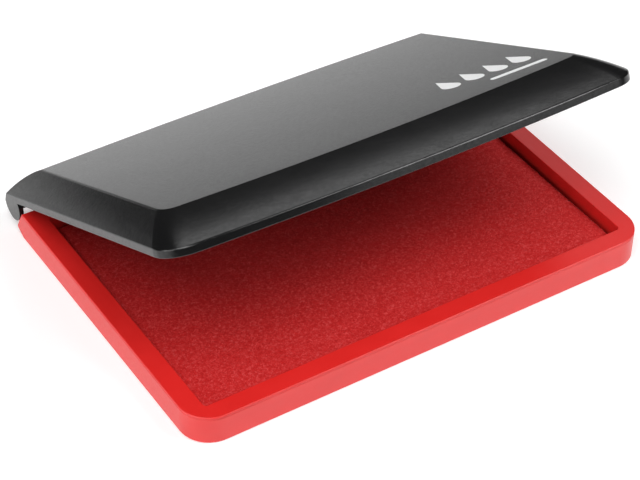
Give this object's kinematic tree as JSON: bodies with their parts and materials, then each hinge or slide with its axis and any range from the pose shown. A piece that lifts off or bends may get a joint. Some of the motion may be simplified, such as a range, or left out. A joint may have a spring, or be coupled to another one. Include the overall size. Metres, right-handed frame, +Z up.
{
  "type": "ink pad",
  "caption": "Flat rectangular ink pad with a felt-topped pad in a shallow red tray, under a hinged dark lid with sloping sides that stays where it is opened.",
  "frame": {"origin": "middle of the flat underside, directly below the middle of the pad", "axes": "+X to the right along the long side, +Y from the front edge to the hinge, +Z up"},
  "size_m": [0.1194, 0.0892, 0.0482],
  "materials": {
    "red_plastic": "satin moulded red plastic",
    "dark_plastic": "satin moulded dark grey plastic",
    "inked_cloth": "fine matted felt, soaked with red ink",
    "inked_felt": "dense felt, soaked with red ink",
    "foam": "soft fine foam",
    "board": "plain stiff board",
    "label_paper": "blank matt paper label"
  },
  "bodies": {
    "base": {"base_tray": "red_plastic", "rim_frame": "red_plastic", "underside_label": "label_paper", "pad_plate": "board", "foam_layer": "foam", "felt_layer": "inked_felt", "ink_cloth": "inked_cloth"},
    "lid": {"lid_shell": "dark_plastic"}
  },
  "joints": [
    {"name": "lid_hinge", "type": "hinge", "parent": "base", "child": "lid", "pos_m": [0, 0.04525, 0.00663], "axis": [-1, 0, 0], "range_deg": [-26.43, 93.5]}
  ]
}
